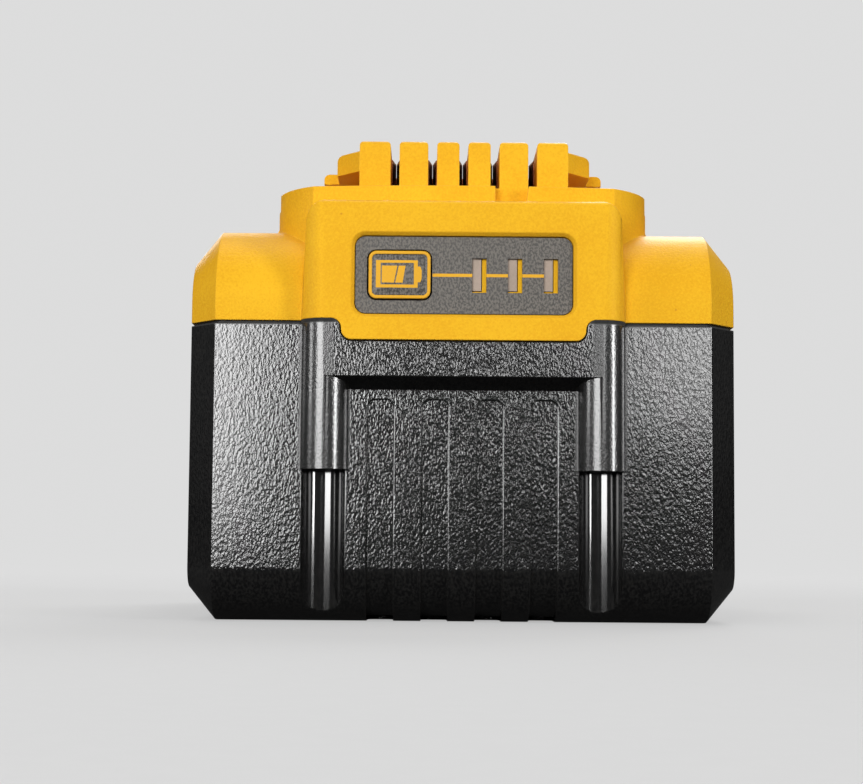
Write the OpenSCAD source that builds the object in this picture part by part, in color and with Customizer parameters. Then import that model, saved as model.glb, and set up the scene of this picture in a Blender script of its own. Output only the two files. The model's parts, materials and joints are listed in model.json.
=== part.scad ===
// Slide-on battery pack for cordless tools: a black tub that holds ten cells, under a cover with
// slide rails, terminal fins and a charge gauge. +Z is up, the gauge end faces -Y, and the origin
// lies on the resting face, under the middle of the pack.

/* [Cells] */
// Diameter of a wrapped cell
cell_d = 18.4; // [17.8:0.1:19]
// Length of a cell over its raised pole
cell_len = 65.2; // [62:0.2:68]
// Gap between neighbouring cells
cell_gap = 0.8; // [0.6:0.1:1.4]
// Diameter of the raised pole
pole_d = 8; // [6:0.5:10]
// Height of the raised pole
pole_h = 0.8; // [0.4:0.1:1.2]
// Radius of a cell's rolled edges
cell_edge = 0.9; // [0.4:0.1:1.4]

/* [Cell holder] */
// Plastic outside the outermost bores
holder_rim = 0.8; // [0.6:0.1:1.4]
// Reach of each holder half along the cells
holder_depth = 14; // [12:0.5:20]
// Frame that stands past the cell ends, round the strips
holder_frame = 1.6; // [1:0.1:2.4]
// Chamfer on the holder's corners
holder_chamfer = 4; // [3.4:0.2:5]
// Chamfer along the holder's outer lower edges
holder_bevel = 1.7; // [1.4:0.1:2.4]
// Clearance round a cell in its bore
cell_fit = 0.15; // [0.1:0.05:0.2]

/* [Strips and sheets] */
// Thickness of a nickel strip
strip_t = 0.3; // [0.15:0.05:0.4]
// Reach of a strip past a cell's axis
strip_reach = 6; // [4.5:0.25:6.5]
// Width of the slot inside a double strip
strip_slot = 3; // [2:0.5:6]
// Width of a strip's tab
tab_w = 5; // [3:0.5:7]
// Reach of a tab over the board
tab_foot = 6; // [4.5:0.5:7]
// Clearance round a strip in its pocket
strip_fit = 0.4; // [0.2:0.1:0.6]
// Thickness of an insulator sheet
sheet_t = 0.4; // [0.2:0.1:0.6]
// Margin round an insulator sheet
sheet_margin = 0.6; // [0.4:0.1:1.5]

/* [Case] */
// Side wall of tub and cover
side_wall = 3; // [2.6:0.1:3.6]
// Front and rear wall of tub and cover
end_wall = 4.6; // [4.2:0.1:5.6]
// Floor of the tub
floor_t = 2.4; // [2:0.1:3.2]
// Roof of the cover
roof_t = 2.4; // [2:0.1:3]
// Gap between the cell block and the walls
core_fit = 0.4; // [0.3:0.1:0.8]
// Height of the cell block above the parting line
split_drop = 1.1; // [0.6:0.1:1.6]
// Height of the shoulders above the parting line
shoulder_h = 13.8; // [13:0.2:16]
// Bevel round each side face, across the width
bevel_side = 3.8; // [3:0.1:4.2]
// Bevel round each side face, into that face
bevel_deep = 4.6; // [3.6:0.1:5]
// Radius of the tub's lower front and rear edges
foot_r = 7.5; // [6:0.25:8]
// Radius of the cover's front shoulders
shoulder_r = 11; // [9:0.5:12]
// Radius of the cover's rear shoulders
rear_r = 8; // [6.5:0.5:9]
// Height of the shadow gap under the cover
seam_h = 0.4; // [0.2:0.1:0.6]
// Depth of the shadow gap under the cover
seam_deep = 0.5; // [0.3:0.1:0.7]
// Height of the cover's locating rim inside the tub
rim_h = 2.2; // [1.6:0.2:3]
// Thickness of the locating rim
rim_t = 1.2; // [1:0.1:1.4]
// Clearance round the locating rim
rim_fit = 0.15; // [0.1:0.05:0.2]
// Cut across the locating rim's corners
rim_cut = 2; // [1.6:0.1:2.4]

/* [Front of the tub] */
// Stand-out of collars, header and bezel from the end faces
plinth = 3.2; // [2.6:0.1:3.3]
// Distance of the screws from the middle
screw_x = 19; // [18.6:0.1:20]
// Diameter of the screw collars
collar_d = 6.7; // [6.7:0.1:7.4]
// Length of the collars below the parting line
collar_len = 20.6; // [17:0.2:24]
// Diameter of the screwdriver channels
channel_d = 5.9; // [5.6:0.1:6.2]
// Length of the header below the parting line
header_len = 7.9; // [6:0.1:9]
// Fall of the header's underside towards the tub
header_fall = 1.6; // [1:0.1:2]
// Width of a flute
flute_w = 3.65; // [2.6:0.05:4.6]
// Spacing of the flutes
flute_pitch = 7.5; // [6.6:0.1:7.6]
// Depth of the flutes
flute_deep = 0.7; // [0.4:0.1:1.1]
// Radius of the flutes' upper corners
flute_r = 1.1; // [0.6:0.1:1.3]
// Distance of the flutes' tops below the parting line
flute_top = 10.8; // [9.6:0.2:14]
// Reach of the flutes under the tub
flute_reach = 13; // [10:0.5:20]

/* [Gauge] */
// Height of the bezel above the parting line
bezel_h = 16.4; // [16:0.1:17]
// Radius of the bezel's upper corners
bezel_r = 2.9; // [2.2:0.1:3.4]
// Draw-in of the bezel's sides towards its top
bezel_draft = 0.65; // [0.3:0.05:0.9]
// Radius of the bezel's upper front edge
bezel_edge = 0.9; // [0.5:0.1:1.6]
// Width of the lip below the bezel
lip_w = 33.4; // [31:0.2:33.8]
// Length of the lip below the parting line
lip_len = 2.9; // [2:0.1:3.4]
// Radius of the lip's corners
lip_r = 1.4; // [0.8:0.1:1.4]
// Clearance round the lip
lip_fit = 0.2; // [0.15:0.05:0.4]
// Width of the gauge window
window_w = 29.9; // [29:0.1:30.4]
// Height of the gauge window
window_h = 10.8; // [10.2:0.1:11.6]
// Height of the window's middle above the parting line
window_z = 6.05; // [5.9:0.05:6.4]
// Radius of the window's corners
window_r = 1.5; // [0.8:0.1:2]
// Chamfer round the gauge window
window_cut = 0.5; // [0.2:0.1:0.6]
// Depth of the overlay below the bezel
overlay_deep = 0.7; // [0.3:0.1:0.9]
// Thickness of the overlay
overlay_t = 0.6; // [0.4:0.1:0.8]
// Wall behind the overlay
gauge_wall = 1.6; // [1.2:0.1:1.8]
// Width of the gauge key
key_w = 8.5; // [7.5:0.1:9]
// Height of the gauge key
key_h = 6.6; // [6:0.1:7]
// Distance of the key from the middle
key_x = 8.8; // [8.4:0.1:9]
// Radius of the key's corners
key_r = 1.1; // [0.6:0.1:1.6]
// Stand-out of the key from the overlay
key_proud = 0.4; // [0.2:0.1:0.6]
// Clearance round the key
key_fit = 0.2; // [0.15:0.05:0.25]
// Collar behind the key that keeps it in
key_collar = 0.7; // [0.5:0.1:0.8]
// Thickness of the key's collar and of the light guide's plate
gauge_plate = 0.9; // [0.7:0.1:1]
// Width of a light window
light_w = 1.95; // [1.6:0.05:2.4]
// Height of a light window
light_h = 4.7; // [4:0.1:5.4]
// Distance of the first light window from the middle
light_x = 2.1; // [2:0.1:2.3]
// Spacing of the light windows
light_pitch = 4.9; // [4.4:0.1:5]
// Width of a light guide's finger
finger_w = 1.25; // [1:0.05:1.6]
// Height of a light guide's finger
finger_h = 4.4; // [3.8:0.1:4.6]
// Depth of the light guide below the overlay
light_deep = 0.5; // [0.3:0.05:0.7]
// Clearance round the light guide's fingers
light_fit = 0.1; // [0.05:0.05:0.2]
// Margin of the light guide's plate round its windows
guide_margin = 0.8; // [0.5:0.1:1]
// Travel of the key
key_travel = 0.35; // [0.25:0.05:0.4]

/* [Gauge board] */
// Width of the gauge board
gauge_board_w = 30.4; // [29.8:0.1:30.6]
// Height of the gauge board
gauge_board_h = 11; // [10:0.1:11.4]
// Thickness of the gauge board
gauge_board_t = 1.2; // [0.8:0.1:1.6]
// Ledge that the board's ends rest on
gauge_ledge = 0.8; // [0.6:0.1:1]
// Side of the switch body
switch_w = 4.2; // [3.6:0.1:5]
// Height of the switch body
switch_t = 1.6; // [1.4:0.1:2]
// Diameter of the switch plunger
plunger_d = 2.2; // [1.8:0.1:2.6]
// Stand-out of the plunger from the switch body
plunger_out = 0.6; // [0.5:0.05:0.8]
// Length of the plunger inside the switch body
plunger_in = 0.7; // [0.5:0.05:0.8]
// Side of a light-emitting diode
led_w = 1.6; // [1.2:0.1:1.9]
// Height of a light-emitting diode
led_t = 0.8; // [0.6:0.1:1]
// Spacing of the header's pins
header_pitch = 2; // [1.8:0.1:2.6]
// Width and height of the header's body
header_w = 2.4; // [2:0.1:3]
// Width of a header pin
pin_w = 0.6; // [0.4:0.05:0.8]

/* [Platform and rails] */
// Distance of the platform behind the front face
platform_y = 2; // [1.5:0.1:2.4]
// Width of the platform
platform_w = 53.2; // [50:0.2:54]
// Height of the platform's front lip above the shoulders
platform_lip = 5.6; // [5:0.1:6]
// Radius of the bow along the platform's front
bow_r = 160; // [120:5:200]
// Radius of the platform's front corners
platform_r = 13; // [11:0.5:14]
// Radius of the cove at the platform's foot
cove_r = 2; // [1:0.1:2.4]
// Height of the deck above the shoulders
deck_h = 3.3; // [3:0.1:3.8]
// Depth of the lip before the deck
lip_deep = 9; // [8:0.1:9.5]
// Height of the slide grooves
groove_h = 4.6; // [4.4:0.1:5]
// Thickness of the rail flanges
flange_t = 2.9; // [2.4:0.1:3.2]
// Half width over the rail flanges
flange_x = 18; // [17.2:0.1:18.6]
// Length of the flanges' lead-in
lead_len = 4; // [3:0.2:6]
// Half width over the outer rails
rail_x = 20.2; // [19.4:0.1:21]
// Thickness of the outer rails
rail_t = 1.5; // [1.2:0.1:2]
// Distance of the outer rails behind the front face
rail_y = 14; // [11:0.5:16]
// Radius of the rails' upper edges
rail_r = 0.8; // [0.4:0.1:1]
// Distance of the fins behind the front face
fin_y = 4; // [3.4:0.1:4.6]
// Half width over the terminal fins
fin_x = 14.7; // [14:0.1:15.4]
// Height of the fins above the flanges
fin_h = 1.5; // [0.8:0.1:2]
// Length of the fins
fin_len = 27; // [25:0.5:30]
// Radius of the fins' edges
fin_r = 0.7; // [0.4:0.1:0.9]
// Length of the rails
rail_len = 66; // [60:1:68]
// Width of a terminal slot
slot_w = 1.25; // [1:0.05:1.5]
// Distance of the inner slots from the middle
slot_inner = 4.4; // [4.2:0.1:4.7]
// Distance of the outer slots from the middle
slot_outer = 9.7; // [9.4:0.1:10]
// Slant of the keyway's outer wall
keyway_slant = 0.45; // [0.2:0.05:0.8]

/* [Terminals] */
// Width of a forked clip
clip_w = 2; // [1.8:0.1:2.1]
// Sheet thickness of a clip
clip_t = 0.5; // [0.4:0.05:0.6]
// Length of a clip
clip_len = 14; // [11:0.5:15]
// Height of the clips below the fins' tops
clip_drop = 1.1; // [0.8:0.1:1.6]
// Gap between the tips of a clip
clip_gap = 0.06; // [0.04:0.02:0.2]
// Distance of the clip's pinch behind its mouth
clip_pinch = 3.5; // [2.5:0.25:5]
// Clearance round a clip in the cover
clip_fit = 0.3; // [0.25:0.05:0.4]
// Height of the terminal base
base_h = 9.6; // [9:0.1:10]
// Length of the terminal base
base_len = 20; // [18:0.5:21]
// Plastic outside the outer clips
base_margin = 2.1; // [1.6:0.1:2.4]
// Length of a clip's stem along the pack
stem_len = 6; // [4:0.5:8]

/* [Board and tray] */
// Thickness of the tray
tray_t = 1.6; // [1.2:0.1:2]
// Gap between the tray and the strips' tabs
tray_fit = 0.6; // [0.4:0.1:1]
// Distance of the tray's rear end from the middle
tray_rear = 42.4; // [41.6:0.1:43]
// Height of the tray's bosses
boss_h = 1.2; // [0.8:0.1:1.4]
// Diameter of the tray's bosses
boss_d = 5; // [4.4:0.1:6]
// Thickness of the main board
board_t = 1.6; // [1:0.1:1.8]
// Distance of the board's sides inside the cell ends
board_side = 3.6; // [2:0.2:4]
// Distance of the board's rear end from the middle
board_rear = 38.6; // [38:0.1:39.4]
// Depth of the board's notch for the springs
board_notch = 5.4; // [5.2:0.1:6]
// Gap between the board's front end and the cavity
board_fit = 1.2; // [0.8:0.1:1.4]
// Radius of the board's corners
board_r = 2; // [1:0.5:4]
// Diameter of a capacitor
capacitor_d = 6; // [5:0.1:6.6]
// Height of a capacitor
capacitor_h = 5; // [4:0.1:5.4]
// Distance of the capacitors from the middle
capacitor_x = 19; // [17.4:0.1:19.4]
// Distance of the capacitors behind the board's front end
capacitor_y = 10; // [8:0.5:12]
// Diameter of the temperature bead
bead_d = 2.4; // [2:0.1:2.6]
// Length of the temperature bead
bead_len = 6; // [4:0.5:8]
// Diameter of the bead's leads
lead_d = 0.6; // [0.4:0.05:0.8]

/* [Screws] */
// Diameter of a case screw
screw_d = 2.9; // [2.6:0.1:3]
// Length of a case screw
screw_len = 17; // [15:0.5:18]
// Head diameter of a case screw
screw_head = 4.8; // [4.4:0.1:5]
// Head height of a case screw
head_h = 2.2; // [1.8:0.1:2.6]
// Distance of the screw heads' seat below the parting line
head_drop = 11.3; // [10:0.1:13]
// Clearance round a screw's shank and head
screw_fit = 0.25; // [0.2:0.05:0.3]
// Gap between a board screw's head and a strip's tab
head_gap = 0.4; // [0.3:0.1:0.8]
// Diameter of a board screw
board_screw_d = 2; // [1.8:0.1:2.2]
// Length of a board screw
board_screw_len = 8; // [6:0.5:9]

/* [Release latch] */
// Travel of the latch
latch_travel = 4.6; // [4:0.1:4.8]
// Half width of the latch
latch_x = 15; // [13:0.2:16]
// Clearance round the latch in the cover
latch_fit = 0.4; // [0.3:0.05:0.6]
// Half width of the tooth
tooth_x = 8; // [6:0.2:10]
// Distance of the tooth behind the rails
tooth_gap = 5.3; // [4.4:0.1:5.8]
// Length of the tooth
tooth_len = 9.5; // [8:0.1:10]
// Height of the tooth above the deck
tooth_h = 4.4; // [3.6:0.1:4.6]
// Thickness of the latch plate
latch_t = 2.5; // [2:0.1:3]
// Thickness of the push pad
pad_thick = 6.4; // [6:0.1:6.8]
// Distance of the push pad's lower edge above the parting line
pad_low = 6.7; // [6.6:0.1:7.4]
// Depth of the pad's face behind the rear face
pad_deep = 3.4; // [3:0.1:4]
// Depth of the pad's grip grooves
grip_deep = 0.6; // [0.3:0.1:1]
// Spacing of the pad's grip grooves
grip_pitch = 2.2; // [1.8:0.1:2.4]
// Distance of the springs from the middle
spring_x = 9; // [7:0.2:11]
// Distance of the springs before the push pad
spring_back = 6; // [5.6:0.1:6.6]
// Outer diameter of a spring
spring_d = 6; // [5.6:0.1:6.4]
// Wire diameter of a spring
wire_d = 0.7; // [0.5:0.05:0.7]
// Curls of a spring
curls = 5; // [4:1:6]
// Wall of the spring cups
cup_wall = 0.9; // [0.7:0.1:1.2]
// Height of the spring cups
cup_h = 2; // [1.2:0.1:2.4]
// Clearance round a spring and its pin
spring_fit = 0.3; // [0.2:0.05:0.4]

/* [Hidden] */
$fn = 64;
over = 1;
eps = 0.01;
columns = 5;
rows = 2;
header_pins = 5;

pitch = cell_d + cell_gap;
core_len = columns * pitch + 2 * holder_rim;
core_h = rows * pitch + 2 * holder_rim;
core_x = cell_len / 2 + holder_frame;
core_top = floor_t + core_h;
cavity_x = core_x + sheet_t + core_fit;
cavity_y = core_len / 2 + core_fit;
case_x = cavity_x + side_wall;
rear = cavity_y + end_wall;
front = -rear;
split_z = core_top - split_drop;
shoulder_z = split_z + shoulder_h;
roof_z = shoulder_z - roof_t;
plinth_y = front - plinth;
screw_y = rear + plinth - collar_d / 2;
plinth_w = 2 * screw_x + collar_d;
plinth_r = collar_d / 2;
seat_z = split_z - head_drop;

deck_z = shoulder_z + deck_h;
lip_z = shoulder_z + platform_lip;
deck_roof = deck_z - roof_t;
deck_y = front + platform_y + lip_deep;
flange_z = deck_z + groove_h;
rail_top = flange_z + flange_t;
fin_top = rail_top + fin_h;
fin_front = front + fin_y;
fin_rear = fin_front + fin_len;
rail_rear = fin_front + rail_len;
slot_x = [-slot_outer, -slot_inner, 0, slot_inner, slot_outer];
fin_edges = concat([-fin_x], slot_x, [fin_x]);

board_z = core_top + tray_t + boss_h;
board_top = board_z + board_t;
board_front = -cavity_y + board_fit;
board_x = cell_len / 2 - board_side;
board_gap = latch_x + 2 * latch_fit;
tray_x = cell_len / 2 - tray_fit;
board_screw_x = cell_len / 2 - tab_foot - head_gap - board_screw_d;
board_screw_y = [-1.5 * pitch, 0.5 * pitch];

clip_top = fin_top - clip_drop;
clip_front = deck_y + over;
base_top = board_top + base_h;
base_x = slot_outer + base_margin;
base_front = clip_front - over;
clip_foot = base_top + clip_fit;

gauge_z = split_z + window_z;
overlay_y = plinth_y + overlay_deep;
wall_y = overlay_y + overlay_t;
back_y = wall_y + gauge_wall;
plunger_y = back_y + gauge_plate;
switch_y = plunger_y + plunger_out;
gauge_board_y = switch_y + switch_t;
light_list = [for (i = [0 : 2]) light_x + i * light_pitch];

pad_top = deck_z - latch_fit;
pad_z = split_z + pad_low;
pad_rear = rear - pad_deep;
pad_y = pad_rear - pad_thick;
notch_y = pad_y - latch_fit;
tooth_y = rail_rear + tooth_gap;
spring_y = pad_y - spring_back;
latch_top = deck_roof;
latch_z = latch_top - latch_t;
cup_z = core_top + tray_t / 2;
spring_r = (spring_d - wire_d) / 2;

shell_yellow = "#f5b324";
case_black = "#17181a";
overlay_grey = "#3b3c40";
nickel = "#b9b7b0";
copper = "#b06a3a";
board_green = "#1f5b3a";
holder_grey = "#3c4148";
wrap_blue = "#2f6fb0";
sheet_white = "#dcdcd2";
steel = "#8d9094";

function column_y(c) = (c - (columns - 1) / 2) * pitch;
function row_z(r) = floor_t + holder_rim + (r + 0.5) * pitch;

// Carries an X-Z outline along Y
module along_y(y0, y1) {
    translate([0, y1, 0])
        rotate([90, 0, 0])
            linear_extrude(y1 - y0)
                children();
}

// Carries a Y-Z outline along X
module along_x(x0, x1) {
    translate([x0, 0, 0])
        rotate([90, 0, 90])
            linear_extrude(x1 - x0)
                children();
}

// Carries an X-Y outline along Z
module along_z(z0, z1) {
    translate([0, 0, z0])
        linear_extrude(z1 - z0)
            children();
}

module box(low, high) {
    translate(low)
        cube(high - low);
}

module both_sides() {
    children();
    mirror([1, 0, 0])
        children();
}

// Upright plate outline with one radius for its lower and one for its upper corners
module plate_2d(w, z0, z1, low, high) {
    translate([-w / 2, z0 + low])
        square([w, z1 - z0 - low - high]);
    if (low > 0) {
        translate([low - w / 2, z0])
            square([w - 2 * low, low + high]);
        for (s = [-1, 1])
            translate([s * (w / 2 - low), z0 + low])
                circle(low);
    }
    if (high > 0) {
        translate([high - w / 2, z1 - high - low])
            square([w - 2 * high, low + high]);
        for (s = [-1, 1])
            translate([s * (w / 2 - high), z1 - high])
                circle(high);
    }
}

// Outline of a corner that a fillet fills, with its square corner at the origin
module cove_2d(r) {
    difference() {
        square(r);
        translate([r, r])
            circle(r);
    }
}

// Block with a radius at each end of its side profile, and one bevel all round each side face.
// The radii are those of the lower front, upper front, upper rear and lower rear edges.
module bevel_block(half, y, z, r, side, deep) {
    corners = [
        [y[0] + r[0], z[0] + r[0], r[0]],
        [y[0] + r[1], z[1] - r[1], r[1]],
        [y[1] - r[2], z[1] - r[2], r[2]],
        [y[1] - r[3], z[0] + r[3], r[3]]];
    mid_y = (y[0] + y[1]) / 2;
    mid_z = (z[0] + z[1]) / 2;
    for (c = corners)
        translate([0, c[0], c[1]])
            rotate([90, 0, 90])
                rotate_extrude()
                    polygon([[0, -half], [c[2] - deep, -half], [c[2], side - half],
                        [c[2], half - side], [c[2] - deep, half], [0, half]]);
    along_y(y[0] + r[1], y[1] - r[2])
        bevel_half_2d(half, mid_z, z[1], side, -deep);
    along_y(y[0] + r[0], y[1] - r[3])
        bevel_half_2d(half, mid_z, z[0], side, deep);
    along_z(z[0] + r[0], z[1] - r[1])
        bevel_half_2d(half, mid_y, y[0], side, deep);
    along_z(z[0] + r[3], z[1] - r[2])
        bevel_half_2d(half, mid_y, y[1], side, -deep);
}

module bevel_half_2d(half, inner, outer, side, deep) {
    polygon([[-half, inner], [-half, outer + deep], [side - half, outer],
        [half - side, outer], [half, outer + deep], [half, inner]]);
}

// Outer form of tub and cover together
module pack_block() {
    bevel_block(case_x, [front, rear], [0, shoulder_z],
        [foot_r, shoulder_r, rear_r, foot_r], bevel_side, bevel_deep);
}

// Plan of a rectangle about the middle with its four corners cut off
module cut_plan_2d(x, y, cut) {
    polygon([[-x, cut - y], [cut - x, -y], [x - cut, -y], [x, cut - y],
        [x, y - cut], [x - cut, y], [cut - x, y], [-x, y - cut]]);
}

// Places at the four case screws, as turned for the front and rear ends
module at_screws() {
    for (x = [-screw_x, screw_x], y = [-screw_y, screw_y])
        translate([x, y, 0])
            children();
}

// Plan with round outer corners at the front, for the parts that stand out from the front face
module plinth_plan_2d() {
    translate([0, plinth_y])
        plate_2d(plinth_w, 0, end_wall + plinth + shoulder_r, plinth_r, 0);
}

// Lip below the bezel, grown by a gap, with coves where it meets the parting line
module lip_2d(gap) {
    w = lip_w + 2 * gap;
    r = lip_r - gap;
    plate_2d(w, split_z - lip_len - gap, split_z + lip_r, lip_r + gap, 0);
    for (s = [0, 1])
        mirror([s, 0])
            translate([w / 2, split_z]) {
                square([r, over]);
                mirror([0, 1])
                    cove_2d(r);
            }
}

module flute_prism() {
    intersection() {
        along_y(front - over, front + flute_reach)
            plate_2d(flute_w, -over, split_z - flute_top, 0, flute_r);
        along_z(-over, split_z)
            translate([0, front - over])
                plate_2d(flute_w, 0, flute_reach + over, 0, flute_r);
    }
}

module flutes() {
    difference() {
        for (i = [-1.5 : 1.5])
            translate([i * flute_pitch, 0, 0])
                flute_prism();
        along_x(-case_x, case_x)
            flute_floor_2d();
    }
}

// Side profile of the material that stays under the flutes
module flute_floor_2d() {
    r = foot_r - flute_deep;
    translate([front + foot_r, flute_deep])
        square([rear - front, split_z]);
    translate([front + flute_deep, foot_r])
        square([rear - front, split_z]);
    translate([front + foot_r, foot_r])
        circle(r);
}

module tub_cavity() {
    lower = holder_bevel - core_fit / 2;
    along_y(-cavity_y, cavity_y)
        polygon([[-cavity_x, floor_t + lower], [lower - cavity_x, floor_t],
            [cavity_x - lower, floor_t], [cavity_x, floor_t + lower],
            [cavity_x, split_z + over], [-cavity_x, split_z + over]]);
}

// Band between the collars, with an underside that falls towards the tub
module header() {
    low = split_z - header_len;
    intersection() {
        along_x(-plinth_w / 2, plinth_w / 2)
            polygon([[plinth_y, split_z], [plinth_y, low], [front, low - header_fall],
                [front + over, low - header_fall], [front + over, split_z]]);
        along_z(0, split_z)
            plinth_plan_2d();
    }
}

module rim_plan_2d(grow) {
    cut_plan_2d(cavity_x + grow, cavity_y + grow, rim_cut);
}

module lower_case() {
    color(case_black)
    difference() {
        union() {
            intersection() {
                pack_block();
                box([-case_x - over, front - over, -over], [case_x + over, rear + over, split_z]);
            }
            difference() {
                union() {
                    at_screws()
                        along_z(split_z - collar_len, split_z)
                            circle(d = collar_d);
                    header();
                }
                along_y(plinth_y - over, front + 2 * over)
                    lip_2d(lip_fit);
            }
        }
        tub_cavity();
        along_z(split_z - rim_h, split_z + over)
            rim_plan_2d(rim_t);
        at_screws() {
            along_z(-over, split_z - collar_len)
                circle(d = channel_d);
            along_z(split_z - collar_len - over, seat_z)
                circle(d = screw_head + 2 * screw_fit);
            along_z(seat_z - over, split_z + over)
                circle(d = screw_d + 2 * screw_fit);
        }
        flutes();
        seam_gap();
    }
}

// Shadow gap round the tub's upper edge, left out across the collars
module seam_gap() {
    across = plinth_w / 2;
    difference() {
        along_z(split_z - seam_h, split_z + over)
            translate([-case_x - over, front - over])
                square([2 * (case_x + over), 2 * (rear + over)]);
        along_z(split_z - seam_h - over, split_z + 2 * over)
            bevel_plan_2d(seam_deep);
        box([-across, front - 2 * over, 0], [across, front + over, split_z + 2 * over]);
        box([-across, rear - over, 0], [across, rear + 2 * over, split_z + 2 * over]);
    }
}

// Plan of the pack's outline, drawn in by an inset
module bevel_plan_2d(inset) {
    x = case_x - inset;
    y = rear - inset;
    polygon([[-x, bevel_deep - y], [bevel_side - x, -y], [x - bevel_side, -y], [x, bevel_deep - y],
        [x, y - bevel_deep], [x - bevel_side, y], [bevel_side - x, y], [-x, y - bevel_deep]]);
}

// Bezel block with its lip, round at its upright edges and along its upper front edge
module bezel() {
    back = front + shoulder_r + over;
    intersection() {
        along_y(plinth_y, back)
            bezel_2d();
        along_z(split_z - over, shoulder_z + bezel_h)
            plinth_plan_2d();
        along_x(-plinth_w, plinth_w)
            bezel_side_2d(back);
    }
    along_y(plinth_y, front - lip_fit)
        lip_2d(0);
}

// Front outline of the bezel, drawn in towards its round upper corners
module bezel_2d() {
    low = plinth_w / 2;
    high = low - bezel_draft;
    bend = split_z + bezel_h - bezel_r;
    polygon([[-low, split_z], [low, split_z], [high, bend], [-high, bend]]);
    plate_2d(2 * high, bend - over, split_z + bezel_h, 0, bezel_r);
}

module bezel_side_2d(back) {
    top = split_z + bezel_h;
    translate([plinth_y, split_z - over])
        square([back - plinth_y, bezel_h + over - bezel_edge]);
    translate([plinth_y + bezel_edge, top - 2 * bezel_edge])
        square([back - plinth_y, 2 * bezel_edge]);
    translate([plinth_y + bezel_edge, top - bezel_edge])
        circle(bezel_edge);
}

// Raised platform: a lip with a bowed front before a lower deck, with a cove along each side
module platform() {
    y0 = front + platform_y;
    end = pad_y + over;
    along_z(split_z + over, deck_z)
        platform_plan_2d(end);
    along_z(deck_z - over, lip_z)
        platform_plan_2d(deck_y);
    both_sides()
        along_y(y0 + platform_r, end)
            translate([platform_w / 2, shoulder_z])
                cove_2d(cove_r);
}

module platform_plan_2d(end) {
    y0 = front + platform_y;
    intersection() {
        translate([0, y0 + bow_r])
            circle(bow_r);
        translate([0, y0 - over])
            plate_2d(platform_w, 0, rear - y0, platform_r, 0);
        translate([-platform_w, y0 - over])
            square([2 * platform_w, end - y0 + over]);
    }
}

// Rails: a neck with a flange that leads in at the front, and a lower outer rail behind that
module rails() {
    box([-fin_x, fin_front, roof_z], [fin_x, rail_rear, rail_top]);
    intersection() {
        along_y(fin_front, rail_rear)
            plate_2d(2 * flange_x, flange_z, rail_top, 0, rail_r);
        along_z(flange_z - over, rail_top + over)
            polygon([[-fin_x, fin_front], [fin_x, fin_front], [flange_x, fin_front + lead_len],
                [flange_x, rail_rear], [-flange_x, rail_rear], [-flange_x, fin_front + lead_len]]);
    }
    along_y(front + rail_y, rail_rear)
        plate_2d(2 * rail_x, flange_z, flange_z + rail_t, 0, rail_r);
}

// Terminal fins, with round upper edges, between the slots
module fins() {
    intersection() {
        for (i = [0 : len(fin_edges) - 2]) {
            left = fin_edges[i] + (i == 0 ? 0 : slot_w / 2);
            right = fin_edges[i + 1] - (i == len(fin_edges) - 2 ? 0 : slot_w / 2);
            translate([(left + right) / 2, 0, 0])
                along_y(fin_front, fin_rear)
                    plate_2d(right - left, rail_top - over, fin_top, 0, fin_r);
        }
        along_x(-fin_x - over, fin_x + over)
            fin_side_2d();
    }
}

module fin_side_2d() {
    low = rail_top - 2 * over;
    translate([fin_front, low])
        square([fin_len, fin_top - low - fin_r]);
    translate([fin_front + fin_r, low])
        square([fin_len - 2 * fin_r, fin_top - low]);
    for (y = [fin_front + fin_r, fin_rear - fin_r])
        translate([y, fin_top - fin_r])
            circle(fin_r);
}

// Slots between the fins, with a wider pocket below for each clip
module terminal_slots() {
    for (x = slot_x) {
        box([x - slot_w / 2, fin_front - over, lip_z],
            [x + slot_w / 2, fin_rear + over, fin_top + over]);
        box([x - clip_w / 2 - clip_fit, clip_front - clip_fit, base_top - over],
            [x + clip_w / 2 + clip_fit, clip_front + clip_len + clip_fit, clip_top + clip_fit]);
    }
    box([-base_x - clip_fit, base_front - clip_fit, roof_z - over],
        [base_x + clip_fit, base_front + base_len + clip_fit, base_top + clip_fit]);
}

// Keyway through the lip before one fin, with a slanted outer wall
module keyway() {
    low = deck_z - over;
    outer = slot_outer - slot_w / 2;
    along_y(front, fin_front)
        polygon([[slot_inner, low], [outer - keyway_slant, low], [outer, lip_z],
            [outer, lip_z + over], [slot_inner, lip_z + over]]);
}

// Rear bosses that the rear screws enter, round on top
module rear_bosses() {
    top = seat_z + screw_len + over;
    for (x = [-screw_x, screw_x])
        translate([x, screw_y, 0]) {
            along_z(split_z, top)
                circle(d = collar_d);
            translate([0, 0, top])
                sphere(d = collar_d);
        }
}

// Hollow under the shoulders, the deck and the rear of the rails
module cover_cavity() {
    inner_r = shoulder_r - end_wall;
    bevel_block(cavity_x, [-cavity_y, cavity_y], [split_z - 2 * shoulder_h, roof_z],
        [inner_r, inner_r, inner_r / 2, inner_r / 2], bevel_side / 3, bevel_deep / 3);
    under = platform_w / 2 - roof_t;
    box([-under, base_front - clip_fit, roof_z - over], [under, notch_y, deck_roof]);
    hollow = fin_x - roof_t;
    box([-hollow, base_front + base_len + roof_t, deck_roof - over],
        [hollow, rail_rear - roof_t, rail_top - roof_t]);
}

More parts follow.
